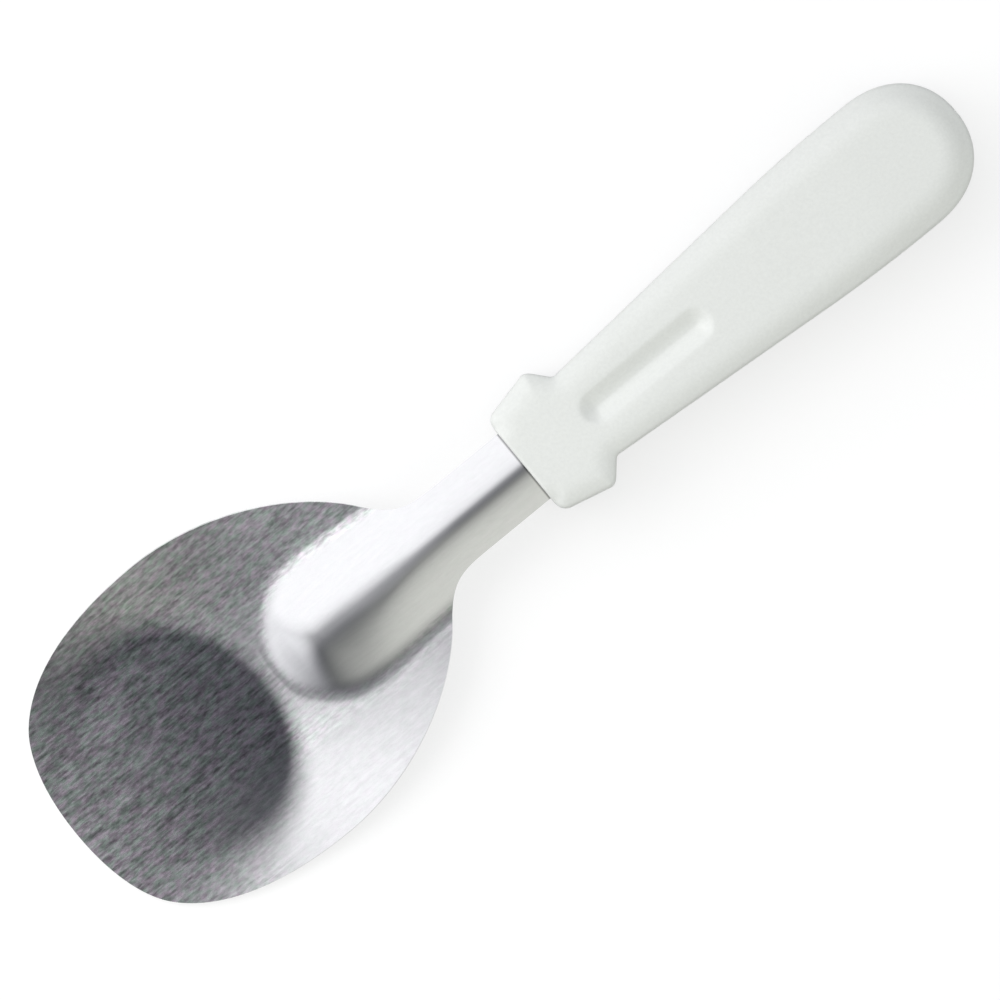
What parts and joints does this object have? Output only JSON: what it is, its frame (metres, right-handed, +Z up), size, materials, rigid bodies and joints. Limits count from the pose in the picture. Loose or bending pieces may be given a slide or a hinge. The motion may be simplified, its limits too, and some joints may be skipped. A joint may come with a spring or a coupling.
{
  "type": "ice cream spade",
  "caption": "Ice cream spade: a shallow pressed steel blade with a raised rib and arched neck, moulded into a flared white plastic handle with a thumb groove.",
  "frame": {"origin": "centre of the bounding box, on the table that the blade floor and the butt of the handle rest on", "axes": "+X along the tool from the blade tip to the butt, +Y to the left across the blade, +Z up out of the hollow of the blade"},
  "size_m": [0.228, 0.0692, 0.02],
  "materials": {
    "brushed_steel": "brushed along the blade",
    "white_plastic": "satin"
  },
  "bodies": {
    "root": {"pressed_blade": "brushed_steel", "moulded_handle": "white_plastic"}
  },
  "joints": []
}
